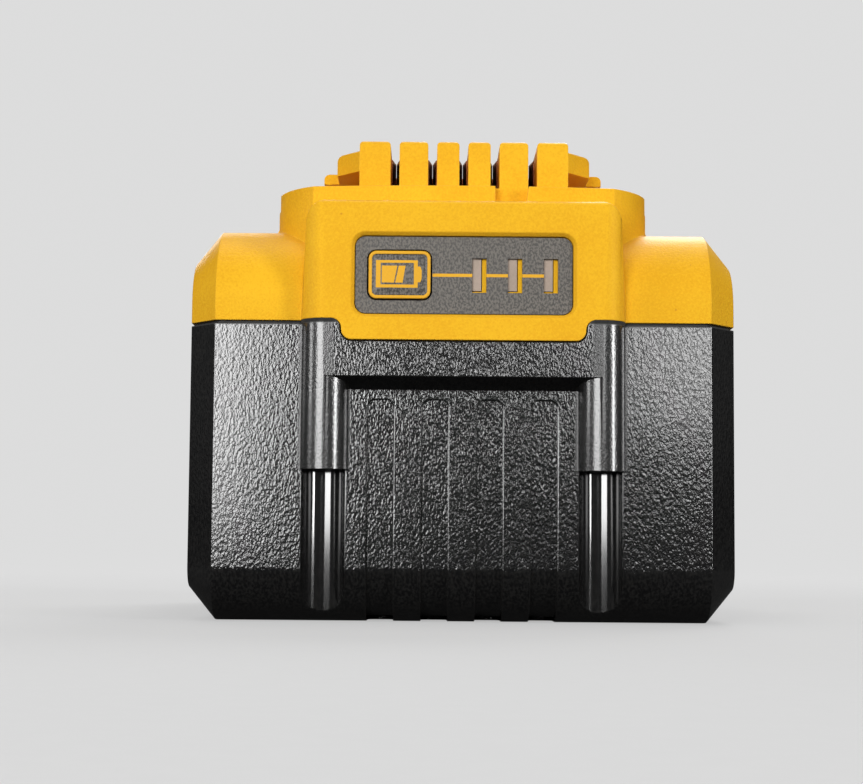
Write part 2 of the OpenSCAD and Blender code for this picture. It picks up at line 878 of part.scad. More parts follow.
// Window recess, openings for key and lights, and the pocket for the gauge board
module gauge_cuts() {
    along_y(plinth_y - over, wall_y)
        window_2d(0);
    hull() {
        along_y(plinth_y - eps, plinth_y)
            window_2d(-window_cut, $fn = 32);
        along_y(plinth_y + window_cut, plinth_y + window_cut + eps)
            window_2d(0, $fn = 32);
    }
    along_y(wall_y - over, back_y + over)
        translate([-key_x, 0])
            key_2d(key_fit);
    for (x = light_list)
        along_y(wall_y - over, back_y + over)
            translate([x, 0])
                finger_2d(light_fit);
    half = gauge_board_w / 2;
    low = gauge_z - gauge_board_h / 2;
    high = gauge_z + gauge_board_h / 2;
    box([gauge_ledge - half, back_y, low], [half - gauge_ledge, gauge_board_y + over, high]);
    box([-half - lip_fit, gauge_board_y, low - lip_fit],
        [half + lip_fit, -cavity_y + shoulder_r, high + lip_fit]);
}

module window_2d(inset) {
    plate_2d(window_w - 2 * inset, gauge_z - window_h / 2 + inset, gauge_z + window_h / 2 - inset,
        window_r - inset, window_r - inset);
}

module key_2d(grow) {
    plate_2d(key_w + 2 * grow, gauge_z - key_h / 2 - grow, gauge_z + key_h / 2 + grow,
        key_r + grow, key_r + grow);
}

module light_2d() {
    plate_2d(light_w, gauge_z - light_h / 2, gauge_z + light_h / 2, 0, 0);
}

// Finger of the light guide, in the upper left corner of its window
module finger_2d(grow) {
    top = gauge_z + light_h / 2;
    translate([(finger_w - light_w) / 2, 0])
        plate_2d(finger_w + 2 * grow, top - finger_h - grow, top + grow, 0, 0);
}

// Openings for the latch's tooth and push pad
module latch_cuts() {
    x = tooth_x + latch_fit;
    box([-x, tooth_y - latch_fit, deck_roof - over],
        [x, tooth_y + tooth_len + latch_fit, lip_z]);
    half = latch_x + latch_fit;
    box([-half, notch_y, pad_z - latch_fit], [half, rear + over, lip_z]);
    box([-half, notch_y, split_z], [half, pad_rear + latch_fit, pad_z]);
}

module upper_cover() {
    color(shell_yellow)
    difference() {
        union() {
            intersection() {
                pack_block();
                box([-case_x - over, front - over, split_z], [case_x + over, rear + over, lip_z]);
            }
            bezel();
            platform();
            rails();
            fins();
            rear_bosses();
            along_z(split_z - rim_h + rim_fit, split_z + over)
                rim_plan_2d(rim_t - rim_fit);
        }
        cover_cavity();
        gauge_cuts();
        terminal_slots();
        latch_cuts();
        at_screws()
            along_z(split_z - over, seat_z + screw_len + over)
                circle(d = screw_d + screw_fit / 2);
        keyway();
    }
}

// Case screws with a driver recess, heads downward
module case_screws() {
    color(steel)
    at_screws()
        difference() {
            union() {
                along_z(seat_z - head_h, seat_z)
                    circle(d = screw_head);
                along_z(seat_z - over / 2, seat_z + screw_len)
                    circle(d = screw_d);
            }
            along_z(seat_z - head_h - over, seat_z - head_h / 2)
                circle(d = screw_d, $fn = 6);
        }
}

module holder_outline_2d() {
    translate([0, floor_t + core_h / 2])
        cut_plan_2d(core_len / 2, core_h / 2, holder_chamfer);
}

// Strip groups as first column, last column and side of the tab from the group's middle
strips = [[0, 1, 0], [2, 3, 0], [4, 4, -1], [0, 0, 0], [1, 2, 0], [3, 4, -1]];

function strip_tab_y(g) = g[2] < 0 ? column_y(g[0]) - strip_reach + tab_w / 2
    : (column_y(g[0]) + column_y(g[1])) / 2;

module strip_plan_2d(g, grow) {
    y0 = column_y(g[0]) - strip_reach - grow;
    y1 = column_y(g[1]) + strip_reach + grow;
    z0 = row_z(0) - strip_reach - grow;
    z1 = row_z(rows - 1) + strip_reach + grow;
    translate([y0, z0])
        square([y1 - y0, z1 - z0]);
    translate([strip_tab_y(g) - tab_w / 2 - grow, z1 - over])
        square([tab_w + 2 * grow, board_top + strip_t + grow - z1 + over]);
}

// Right holder half: a bored block with pockets for the strips in its outer face
module holder_half(groups) {
    color(holder_grey)
    difference() {
        intersection() {
            along_x(core_x - holder_depth, core_x)
                holder_outline_2d();
            along_y(-core_len, core_len)
                polygon([[0, floor_t], [core_x - holder_bevel, floor_t],
                    [core_x, floor_t + holder_bevel], [core_x, core_top], [0, core_top]]);
        }
        for (c = [0 : columns - 1], r = [0 : rows - 1])
            along_x(core_x - holder_depth - over, core_x + over)
                translate([column_y(c), row_z(r)])
                    circle(d = cell_d + 2 * cell_fit);
        for (g = groups)
            along_x(cell_len / 2, core_x + over)
                strip_plan_2d(g, strip_fit);
        for (y = board_screw_y)
            translate([board_screw_x, y, 0])
                along_z(board_top - board_screw_len - over, core_top + over)
                    circle(d = board_screw_d + screw_fit / 2);
    }
}

module cell_holder_left() {
    mirror([1, 0, 0])
        holder_half([strips[0], strips[1], strips[2]]);
}

module cell_holder_right() {
    holder_half([strips[3], strips[4], strips[5]]);
}

// Cell along X: a wrapped can with rolled edges and a raised pole at one end
module cell(index) {
    c = floor(index / rows);
    r = index % rows;
    turn = c % 2 == 0 ? 90 : -90;
    half = cell_len / 2;
    can = half - pole_h;
    radius = cell_d / 2;
    color(wrap_blue)
    translate([0, column_y(c), row_z(r)])
        rotate([0, turn, 0])
            rotate_extrude() {
                translate([0, -half])
                    square([radius - cell_edge, half + can]);
                translate([0, cell_edge - half])
                    square([radius, half + can - 2 * cell_edge]);
                for (z = [cell_edge - half, can - cell_edge])
                    translate([radius - cell_edge, z])
                        circle(cell_edge);
                translate([0, can - over])
                    square([pole_d / 2, pole_h + over]);
            }
}

// Nickel strip on the right side: a plate over its cells, with a tab folded over the board
module strip(g) {
    color(nickel) {
        along_x(cell_len / 2, cell_len / 2 + strip_t)
            difference() {
                strip_plan_2d(g, 0);
                for (c = [g[0] : g[1]])
                    translate([column_y(c), (row_z(0) + row_z(1)) / 2])
                        square([strip_slot, pitch / 2], center = true);
            }
        y = strip_tab_y(g);
        box([cell_len / 2 - tab_foot, y - tab_w / 2, board_top],
            [cell_len / 2 + strip_t, y + tab_w / 2, board_top + strip_t]);
    }
}

module insulator() {
    color(sheet_white)
    along_x(core_x, core_x + sheet_t)
        translate([0, floor_t + core_h / 2])
            cut_plan_2d(core_len / 2 - sheet_margin, core_h / 2 - holder_bevel - sheet_margin,
                holder_chamfer);
}

// Tray over the cells: lightened plate, bosses for the board and cups for the latch springs
module board_tray() {
    color(case_black)
    difference() {
        union() {
            box([-tray_x, board_front, core_top], [tray_x, tray_rear, core_top + tray_t]);
            for (x = [-board_screw_x, board_screw_x], y = board_screw_y)
                translate([x, y, 0])
                    along_z(core_top, board_z)
                        circle(d = boss_d);
            for (x = [-spring_x, spring_x])
                translate([x, spring_y, 0])
                    along_z(core_top, core_top + tray_t + cup_h)
                        circle(d = spring_d + 2 * spring_fit + 2 * cup_wall);
        }
        for (x = [-spring_x, spring_x])
            translate([x, spring_y, 0])
                along_z(cup_z, core_top + tray_t + cup_h + over)
                    circle(d = spring_d + 2 * spring_fit);
        for (x = [-board_screw_x, board_screw_x], y = board_screw_y)
            translate([x, y, 0])
                along_z(core_top - over, board_z + over)
                    circle(d = board_screw_d + screw_fit);
        for (c = [0 : 2])
            translate([0, column_y(c) + pitch / 2, core_top])
                cube([2 * board_screw_x - 3 * boss_d, pitch - boss_d, 3 * tray_t], center = true);
    }
}

module main_board() {
    color(board_green)
    difference() {
        along_z(board_z, board_top)
            translate([0, board_front])
                plate_2d(2 * board_x, 0, board_rear - board_front, board_r, board_r);
        box([-board_gap, board_rear - board_notch, board_z - over],
            [board_gap, board_rear + over, board_top + over]);
        for (x = [-board_screw_x, board_screw_x], y = board_screw_y)
            translate([x, y, 0])
                along_z(board_z - over, board_top + over)
                    circle(d = board_screw_d + screw_fit);
    }
}

// Power parts as width, length, height and place on the board
board_blocks = [
    [10, 9, 4.4, -15, -12],
    [10, 9, 4.4, 15, -12],
    [10, 10, 1.2, 0, -6],
    [6, 3, 1.4, -16, 4],
    [6, 3, 1.4, 14, 6],
    [12, 4, 1.2, 0, 8],
    [5, 5, 1, -20, 20],
    [8, 3, 1, 16, 20]];

module board_parts() {
    color("#2a2b2e")
    translate([0, 0, board_top]) {
        for (b = board_blocks)
            translate([b[3] - b[0] / 2, b[4] - b[1] / 2, 0])
                cube([b[0], b[1], b[2]]);
        for (x = [-capacitor_x, capacitor_x])
            translate([x, board_front + capacitor_y, 0])
                cylinder(d = capacitor_d, h = capacitor_h);
    }
}

module board_screws() {
    color(steel)
    for (x = [-board_screw_x, board_screw_x], y = board_screw_y)
        translate([x, y, board_top]) {
            cylinder(d = 2 * board_screw_d, h = board_screw_d / 2);
            translate([0, 0, -board_screw_len])
                cylinder(d = board_screw_d, h = board_screw_len + board_screw_d / 4);
        }
}

// Block that holds the clips' stems upright on the board
module terminal_base() {
    stem_y = clip_front + clip_len - stem_len;
    color(case_black)
    difference() {
        box([-base_x, base_front, board_top], [base_x, base_front + base_len, base_top]);
        for (x = slot_x)
            box([x - clip_t - clip_fit / 3, stem_y - clip_fit / 3, board_top - over],
                [x + clip_t + clip_fit / 3, stem_y + stem_len + clip_fit / 3, base_top + over]);
        for (i = [0 : len(slot_x) - 2])
            box([(slot_x[i] + slot_x[i + 1]) / 2 - clip_t, base_front - over, board_top + base_h / 2],
                [(slot_x[i] + slot_x[i + 1]) / 2 + clip_t, stem_y - clip_t, base_top + over]);
    }
}

// Forked clip: two leaves that close to a narrow gap and flare at the mouth, on one stem
module contact(x) {
    rear_y = clip_front + clip_len;
    pinch_y = clip_front + clip_pinch;
    outer = clip_w / 2;
    tip = clip_gap / 2;
    color(copper)
    translate([x, 0, 0]) {
        along_z(clip_foot, clip_top) {
            for (s = [0, 1])
                mirror([s, 0])
                    polygon([[outer, clip_front], [tip + clip_t, pinch_y], [outer, rear_y - stem_len],
                        [outer, rear_y], [outer - clip_t, rear_y], [outer - clip_t, rear_y - stem_len],
                        [tip, pinch_y], [outer - clip_t, clip_front]]);
            translate([-outer, rear_y - clip_t])
                square([clip_w, clip_t]);
        }
        box([-clip_t, rear_y - stem_len, board_top], [clip_t, rear_y, clip_foot + clip_t]);
        box([-outer, rear_y - stem_len, clip_foot], [outer, rear_y, clip_foot + clip_t]);
    }
}

// Bead in the valley between two upper cells, with two leads up to the board
module thermistor() {
    reach = cell_d / 2 + bead_d / 2 + cell_fit;
    z = row_z(rows - 1) + sqrt(reach * reach - pitch * pitch / 4);
    color("#1d1d1f")
    translate([0, -pitch / 2, z]) {
        rotate([0, 90, 0])
            cylinder(d = bead_d, h = bead_len, center = true);
        for (x = [-1, 1])
            translate([x * bead_d / 2, 0, 0])
                cylinder(d = lead_d, h = board_z - z);
    }
}

module gauge_overlay() {
    color(overlay_grey)
    along_y(overlay_y, wall_y)
        difference() {
            window_2d(light_fit);
            translate([-key_x, 0])
                key_2d(key_fit);
            for (x = light_list)
                translate([x, 0])
                    light_2d();
        }
}

// Key with a collar behind the wall that keeps it in
module gauge_button() {
    color(overlay_grey)
    translate([-key_x, 0, 0]) {
        along_y(overlay_y - key_proud, back_y + gauge_plate / 2)
            key_2d(0);
        along_y(back_y, plunger_y)
            key_2d(key_collar);
    }
}

// Light guide: three fingers through the wall, on one plate
module gauge_windows() {
    color("#b9a7a3") {
        for (x = light_list)
            along_y(overlay_y + light_deep, back_y + gauge_plate / 2)
                translate([x, 0])
                    finger_2d(0);
        middle = light_x + light_pitch;
        along_y(back_y, plunger_y)
            translate([middle, 0])
                plate_2d(2 * light_pitch + light_w, gauge_z - light_h / 2 - guide_margin,
                    gauge_z + light_h / 2 + guide_margin, 0, 0);
        for (x = light_list)
            along_y(plunger_y - over / 4, gauge_board_y - led_t - light_fit)
                translate([x, 0])
                    plate_2d(led_w, gauge_z - led_w / 2, gauge_z + led_w / 2, 0, 0);
    }
}

module gauge_board() {
    color(board_green)
    along_y(gauge_board_y, gauge_board_y + gauge_board_t)
        plate_2d(gauge_board_w, gauge_z - gauge_board_h / 2, gauge_z + gauge_board_h / 2, 0, 0);
}

module gauge_leds() {
    color("#e8e6d8")
    for (x = light_list)
        along_y(gauge_board_y - led_t, gauge_board_y)
            translate([x, 0])
                plate_2d(led_w, gauge_z - led_w / 2, gauge_z + led_w / 2, 0, 0);
}

module gauge_switch() {
    color(steel)
    difference() {
        along_y(switch_y, gauge_board_y)
            translate([-key_x, 0])
                plate_2d(switch_w, gauge_z - switch_w / 2, gauge_z + switch_w / 2, 0, 0);
        along_y(switch_y - over, switch_y + plunger_in + key_travel + key_fit / 2)
            translate([-key_x, gauge_z])
                circle(d = plunger_d + key_fit);
    }
}

module switch_plunger() {
    color("#26262a")
    along_y(plunger_y, switch_y + plunger_in)
        translate([-key_x, gauge_z])
            circle(d = plunger_d);
}

// Pin header between the two boards
module gauge_header() {
    z = board_top + header_w / 2;
    y = board_front + header_w / 4;
    color("#2a2b2e") {
        box([-header_pins * header_pitch / 2, y, board_top],
            [header_pins * header_pitch / 2, y + header_w, board_top + header_w]);
        for (i = [0 : header_pins - 1]) {
            x = (i - (header_pins - 1) / 2) * header_pitch;
            box([x - pin_w / 2, gauge_board_y + gauge_board_t, z - pin_w / 2],
                [x + pin_w / 2, y + pin_w, z + pin_w / 2]);
        }
    }
}

// Latch: tooth and push pad on one plate, with a pin for each spring
module release_latch() {
    color(case_black)
    difference() {
        union() {
            box([-latch_x, tooth_y, latch_z], [latch_x, pad_y + over, latch_top]);
            along_x(-tooth_x, tooth_x)
                polygon([[tooth_y, latch_z], [tooth_y + tooth_len, latch_z],
                    [tooth_y + tooth_len, deck_z + tooth_h],
                    [tooth_y + tooth_len - tooth_h / 2, deck_z + tooth_h],
                    [tooth_y + tooth_h / 4, deck_z], [tooth_y, deck_z - latch_fit]]);
            along_x(-latch_x, latch_x)
                pad_2d();
            for (x = [-spring_x, spring_x])
                translate([x, spring_y, 0])
                    along_z(latch_z - cup_h, latch_z + over)
                        circle(d = spring_d - 2 * wire_d - 2 * spring_fit);
        }
        for (i = [1 : 3])
            translate([0, pad_rear, pad_z + i * grip_pitch])
                rotate([0, 90, 0])
                    cylinder(r = grip_deep, h = 3 * latch_x, center = true);
    }
}

// Side profile of the push pad, drawn back towards its top
module pad_2d() {
    polygon([[pad_y, pad_z], [pad_rear, pad_z], [pad_rear, shoulder_z],
        [pad_rear - deck_h / 2, pad_top], [pad_y, pad_top]]);
}

// Coil spring as one tube along a helix, between the tray's cup and the latch plate
sides = 6;
rings_per_curl = 8;
spring_z = cup_z + wire_d / 2;
spring_rise = latch_z - wire_d - cup_z;
ring_count = curls * rings_per_curl;

function helix(i) = let (a = 360 * i / rings_per_curl)
    [spring_r * cos(a), spring_r * sin(a), spring_z + spring_rise * i / ring_count];

function coil_ring(i) =
    let (
        a = 360 * i / rings_per_curl,
        p = helix(i),
        slope = atan2(spring_rise, ring_count / rings_per_curl * 2 * PI * spring_r),
        out = [cos(a), sin(a), 0],
        up = [sin(a) * sin(slope), -cos(a) * sin(slope), cos(slope)])
    [for (k = [0 : sides - 1])
        let (t = 360 * (k + 0.5) / sides)
        p + wire_d / 2 * (cos(t) * out + sin(t) * up)];

coil_gap = min([for (i = [0 : ring_count - rings_per_curl])
    norm(helix(i + rings_per_curl) - helix(i)) - wire_d]);
echo(least_gap_between_curls = coil_gap);

module latch_spring(x) {
    points = [for (i = [0 : ring_count]) each coil_ring(i)];
    walls = [for (i = [0 : ring_count - 1], k = [0 : sides - 1])
        let (
            a = i * sides + k,
            b = i * sides + (k + 1) % sides)
        each [[a, a + sides, b + sides], [a, b + sides, b]]];
    last = ring_count * sides;
    first_cap = [for (k = [1 : sides - 2]) [0, k, k + 1]];
    last_cap = [for (k = [1 : sides - 2]) [last, last + k + 1, last + k]];
    color(steel)
    translate([x, spring_y, 0])
        polyhedron(points, concat(walls, first_cap, last_cap), convexity = 8);
}

lower_case();
upper_cover();
release_latch();
latch_spring(-spring_x);  // latch_spring_left
latch_spring(spring_x);  // latch_spring_right
case_screws();
cell_holder_left();
cell_holder_right();
cell(0);  // cell_01
cell(1);  // cell_02
cell(2);  // cell_03
cell(3);  // cell_04
cell(4);  // cell_05
cell(5);  // cell_06
cell(6);  // cell_07
cell(7);  // cell_08
cell(8);  // cell_09
cell(9);  // cell_10
mirror([1, 0, 0]) strip(strips[0]);  // strip_left_front
mirror([1, 0, 0]) strip(strips[1]);  // strip_left_middle
mirror([1, 0, 0]) strip(strips[2]);  // strip_left_rear
strip(strips[3]);  // strip_right_front
strip(strips[4]);  // strip_right_middle
strip(strips[5]);  // strip_right_rear
mirror([1, 0, 0]) insulator();  // insulator_left
insulator();  // insulator_right
board_tray();
main_board();
board_parts();
board_screws();
terminal_base();
contact(slot_x[0]);  // contact_1
contact(slot_x[1]);  // contact_2
contact(slot_x[2]);  // contact_3
contact(slot_x[3]);  // contact_4
contact(slot_x[4]);  // contact_5
thermistor();
gauge_overlay();
gauge_button();
gauge_windows();
gauge_board();
gauge_leds();
gauge_switch();
switch_plunger();
gauge_header();
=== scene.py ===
import json
import math

import bmesh
import bpy
import numpy as np
from mathutils import Matrix, Vector


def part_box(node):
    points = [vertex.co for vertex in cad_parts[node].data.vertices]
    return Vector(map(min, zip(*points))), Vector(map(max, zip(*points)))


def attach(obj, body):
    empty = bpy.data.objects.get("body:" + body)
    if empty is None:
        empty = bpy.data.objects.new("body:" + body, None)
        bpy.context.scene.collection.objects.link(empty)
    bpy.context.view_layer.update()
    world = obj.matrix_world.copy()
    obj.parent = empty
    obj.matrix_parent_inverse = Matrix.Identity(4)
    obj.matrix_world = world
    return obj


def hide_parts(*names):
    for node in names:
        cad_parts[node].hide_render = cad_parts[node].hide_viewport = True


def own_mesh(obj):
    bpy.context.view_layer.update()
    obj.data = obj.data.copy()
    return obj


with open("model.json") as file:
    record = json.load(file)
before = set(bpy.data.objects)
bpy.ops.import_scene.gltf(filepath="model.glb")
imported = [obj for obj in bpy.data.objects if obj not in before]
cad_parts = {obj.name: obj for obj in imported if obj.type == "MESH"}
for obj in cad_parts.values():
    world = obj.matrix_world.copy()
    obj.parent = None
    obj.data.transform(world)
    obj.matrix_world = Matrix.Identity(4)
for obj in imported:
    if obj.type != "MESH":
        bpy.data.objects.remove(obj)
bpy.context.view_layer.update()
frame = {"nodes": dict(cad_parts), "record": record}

nodes = frame["nodes"]
mm = 0.001
scene = bpy.context.scene
print("frame loaded:", len(nodes), "nodes")

bevelSamples = 6
turnedRange = (0.995, 0.9)  # cosines between which an edge mask goes from 0 to 1


# links a wire to a socket, or sets a plain value on it, with alpha 1 for a colour
def fill(socket, value):
    if isinstance(value, Wire):
        value.tree.links.new(value.out, socket)
    elif socket.type == "RGBA":
        socket.default_value = (*value, 1.0)
    else:
        socket.default_value = value


class Wire:
    # one socket of a node tree: sums, products and powers of wires add Math nodes
    def __init__(self, tree, out=None):
        self.tree = tree
        self.out = out

    # any node: its settings first, then the values or wires of its sockets
    def add(self, kind, settings=None, inputs=None, pick=0):
        node = self.tree.nodes.new(kind)
        for name, value in (settings or {}).items():
            setattr(node, name, value)
        for name, value in (inputs or {}).items():
            fill(node.inputs[name], value)
        return Wire(self.tree, node.outputs[pick])

    def maths(self, operation, *values):
        return self.add("ShaderNodeMath", {"operation": operation}, dict(enumerate(values)))

    def vector(self, operation, *values, pick=0):
        return self.add("ShaderNodeVectorMath", {"operation": operation}, dict(enumerate(values)), pick)

    def __add__(self, other):
        return self.maths("ADD", self, other)

    def __sub__(self, other):
        return self.maths("SUBTRACT", self, other)

    def __rsub__(self, other):
        return self.maths("SUBTRACT", other, self)

    def __mul__(self, other):
        return self.maths("MULTIPLY", self, other)

    def __pow__(self, other):
        return self.maths("POWER", self, other)

    def __abs__(self):
        return self.maths("ABSOLUTE", self)

    __radd__ = __add__
    __rmul__ = __mul__

    def atMost(self, limit):
        return self.maths("MINIMUM", self, limit)

    # 0 below low, 1 above high, with a soft step between; high below low turns it round
    def step(self, low, high):
        return self.add("ShaderNodeMapRange", {"interpolation_type": "SMOOTHSTEP"},
                        {"Value": self, "From Min": low, "From Max": high})

    # 1 past a limit, blurred by so much on either side
    def past(self, limit, blur):
        return self.step(limit - blur, limit + blur)

    # 1 below a limit, blurred the same way
    def within(self, limit, blur):
        return self.step(limit + blur, limit - blur)

    def scaled(self, factors):
        return self.vector("MULTIPLY", self, factors)

    # x, y and z of a vector
    def split(self):
        first = self.add("ShaderNodeSeparateXYZ", {}, {0: self})
        return [Wire(self.tree, out) for out in first.out.node.outputs]

    def noise(self, scale, detail=2.0, roughness=0.5):
        return self.add("ShaderNodeTexNoise", {},
                        {"Vector": self, "Scale": scale, "Detail": detail, "Roughness": roughness})

    def cells(self, scale, **settings):
        return self.add("ShaderNodeTexVoronoi", settings, {"Vector": self, "Scale": scale})

    # blends two colours by this wire; a Mix node's colour sockets come after those for other data
    def blend(self, first, second):
        return self.add("ShaderNodeMix", {"data_type": "RGBA"}, {0: self, 6: first, 7: second}, pick=2)

    # the surface's normal, rounded at edges within a radius in millimetres
    def rounded(self, radius):
        return self.add("ShaderNodeBevel", {"samples": bevelSamples}, {"Radius": radius * mm})

    # 1 where the surface turns within a radius in millimetres, 0 on the flat
    def edges(self, radius):
        flat = self.add("ShaderNodeNewGeometry", pick="Normal")
        return self.vector("DOT_PRODUCT", self.rounded(radius), flat, pick="Value").step(*turnedRange)


# a material whose pattern coordinates are millimetres in the pack's frame
def newFinish(name):
    finish = bpy.data.materials.new(name)
    finish.use_nodes = True
    tree = finish.node_tree
    shader = tree.nodes["Principled BSDF"]
    place = Wire(tree).add("ShaderNodeTexCoord", pick="Object").scaled((1 / mm, 1 / mm, 1 / mm))
    return finish, shader, place


# sockets by their names, with _ for a space
def feed(shader, **values):
    for name, value in values.items():
        fill(shader.inputs[name.replace("_", " ")], value)


# height in millimetres to a surface normal, which may turn round the edges within a radius
def bumpFrom(height, strength, depth, turn=0.0):
    inputs = {"Height": height, "Strength": strength, "Distance": depth * mm}
    if turn:
        inputs["Normal"] = height.rounded(turn)
    return height.add("ShaderNodeBump", {}, inputs)


yellowLook = {
    "light": (0.86, 0.475, 0.021), "deep": (0.78, 0.39, 0.016), "toneRange": (0.36, 0.64),
    "worn": (0.9, 0.49, 0.035), "wornReach": 0.3, "wornShine": 0.08,
    "speck": (0.66, 0.3, 0.02), "speckScale": 0.22, "speckRange": (0.045, 0.025),
    "sheen": (1.0, 0.62, 0.06), "rough": 0.42, "roughSpread": 0.2, "cloudScale": 0.09,
    "grainScale": 3.2, "grainShare": 0.6, "bump": 1.0, "grainDepth": 0.06, "turn": 0.25,
}


# satin moulding: fine grain, slow cloudiness, a few darker specks and paler edges
def yellowFinish(name):
    look = yellowLook
    finish, shader, place = newFinish(name)
    grain = place.noise(look["grainScale"], roughness=0.6)
    cloud = place.noise(look["cloudScale"])
    mottle = cloud * (1 - look["grainShare"]) + grain * look["grainShare"]
    worn = place.edges(look["wornReach"])
    speck = place.cells(look["speckScale"]).step(*look["speckRange"])
    colour = mottle.step(*look["toneRange"]).blend(look["deep"], look["light"])
    colour = worn.blend(colour, look["worn"])
    feed(shader, Base_Color=speck.blend(colour, look["speck"]), Specular_Tint=look["sheen"],
         Roughness=look["rough"] + (grain - 0.5) * look["roughSpread"] - worn * look["wornShine"],
         Normal=bumpFrom(grain, look["bump"], look["grainDepth"], look["turn"]))
    return finish


# channel and boss: their axes at (+-x, +-y), radii and the height between them
blackLook = {
    "dark": (0.0028, 0.0028, 0.003), "light": (0.0115, 0.0112, 0.0107), "toneRange": (0.35, 0.7),
    "index": 1.75, "rough": 0.1, "roughSpread": 0.1, "coat": 0.4, "coatRough": 0.1,
    "stretch": (1.0, 1.0, 0.6), "pitScale": 3.3, "fineScale": 7.5, "bump": 1.0, "grainDepth": 0.045,
    "wornReach": 0.35, "wornTone": 0.8, "wornSmooth": 0.85,
    "channelX": 19.0, "channelY": 53.65, "channelWall": 3.12, "channelTop": 20.8, "polish": 0.06,
    "streakStretch": (3.0, 3.0, 0.05), "streakRough": 0.06, "streakDepth": 0.02,
    "boss": 3.6, "bossRough": 0.25, "bossScale": 4.4, "bossDepth": 0.6,
    "rim": (40.6, 40.9), "rimRough": 0.7,
}


# spark grain outside, finer on the round bosses, polished walls in the four driver channels, a matt rim
def blackFinish(name):
    look = blackLook
    finish, shader, place = newFinish(name)
    x, y, z = place.split()
    away = ((abs(x) - look["channelX"]) ** 2 + (abs(y) - look["channelY"]) ** 2) ** 0.5
    above = z.past(look["channelTop"], blur=0.05)
    polished = away.within(look["channelWall"], blur=0.03) * (1 - above)
    boss = away.within(look["boss"], blur=0.1) * above
    rim = z.step(*look["rim"])
    pits = place.scaled(look["stretch"]).noise(look["pitScale"], detail=1.5)
    close = place.scaled(look["stretch"]).noise(look["bossScale"], detail=1.0)
    fine = place.noise(look["fineScale"], roughness=0.6)
    streak = place.scaled(look["streakStretch"]).noise(1.0, detail=3.0, roughness=0.6)
    worn = place.edges(look["wornReach"]) * (1 - polished)
    tone = (pits.step(*look["toneRange"]) + worn * look["wornTone"]).atMost(1.0)
    rough = look["rough"] + (fine - 0.5) * look["roughSpread"]
    rough = rough + boss * (look["bossRough"] - look["rough"]) + rim * look["rimRough"]
    grain = (pits - 0.5) * (1 - boss) + (close - 0.5) * boss * look["bossDepth"]
    grain = grain * (1 - polished) * (1 - worn * look["wornSmooth"])
    feed(shader, Base_Color=tone.blend(look["dark"], look["light"]), IOR=look["index"],
         Roughness=(1 - polished) * rough + polished * (look["polish"] + streak * look["streakRough"]),
         Coat_Weight=look["coat"] + polished * (1 - look["coat"]) - rim * look["coat"],
         Coat_Roughness=look["coatRough"],
         Normal=bumpFrom(grain + streak * polished * look["streakDepth"], look["bump"], look["grainDepth"]))
    return finish


overlayLook = {
    "dark": (0.042, 0.037, 0.031), "light": (0.145, 0.13, 0.11), "toneRange": (0.38, 0.62),
    "glint": (0.3, 0.28, 0.25), "paintedGlintScale": 2.4, "paintedGlintRange": (0.12, 0.05),
    "patchScale": 1.1, "patchRange": (0.5, 0.62), "rough": 0.45, "roughSpread": 0.3,
    "stretch": (1.0, 1.0, 0.7), "grainScale": 3.8, "bump": 0.9, "grainDepth": 0.04,
}


# printed film with a speckled matt surface, and painted glints in patches: pale specks in its colour that
# stand in for highlights
def overlayFinish(name):
    look = overlayLook
    finish, shader, place = newFinish(name)
    grain = place.scaled(look["stretch"]).noise(look["grainScale"], detail=1.0)
    patch = place.noise(look["patchScale"]).step(*look["patchRange"])
    # painted highlight: pale specks in the base colour, only within the patches
    glint = place.cells(look["paintedGlintScale"]).step(*look["paintedGlintRange"]) * patch
    colour = grain.step(*look["toneRange"]).blend(look["dark"], look["light"])
    feed(shader, Base_Color=glint.blend(colour, look["glint"]),
         Roughness=look["rough"] + (grain - 0.5) * look["roughSpread"],
         Normal=bumpFrom(grain, look["bump"], look["grainDepth"]))
    return finish


# dark and light tone, roughness, grain size and grain depth in millimetres
plainLook = {
    "latch_black": ((0.007, 0.007, 0.0075), (0.015, 0.015, 0.0155), 0.36, 0.35, 0.05),
    "holder_grey": ((0.045, 0.05, 0.056), (0.07, 0.076, 0.083), 0.5, 0.5, 0.02),
    "tray_black": ((0.014, 0.014, 0.015), (0.028, 0.028, 0.03), 0.48, 0.4, 0.02),
    "parts_black": ((0.012, 0.012, 0.013), (0.026, 0.026, 0.028), 0.55, 0.2, 0.02),
    "sheet_white": ((0.62, 0.61, 0.56), (0.74, 0.73, 0.68), 0.6, 0.4, 0.02),
    "guide_frosted": ((0.33, 0.25, 0.19), (0.42, 0.32, 0.25), 0.42, 0.4, 0.008),
    "led_white": ((0.62, 0.6, 0.5), (0.75, 0.73, 0.62), 0.3, 0.3, 0.02),
    "print_yellow": ((0.74, 0.37, 0.006), (0.84, 0.43, 0.01), 0.7, 0.25, 0.008),
}
plainMix = {"cloudScale": 0.12, "toneRange": (0.3, 0.7), "roughSpread": 0.2, "bump": 0.6}


# plain moulding or print: even parts of grain and cloud between two tones
def plainFinish(name, dark, light, rough, grainSize, depth):
    finish, shader, place = newFinish(name)
    grain = place.noise(1 / grainSize, detail=3.0, roughness=0.6)
    tone = (place.noise(plainMix["cloudScale"]) * 0.5 + grain * 0.5).step(*plainMix["toneRange"])
    feed(shader, Base_Color=tone.blend(dark, light),
         Roughness=rough + (grain - 0.5) * plainMix["roughSpread"],
         Normal=bumpFrom(grain, plainMix["bump"], depth))
    return finish


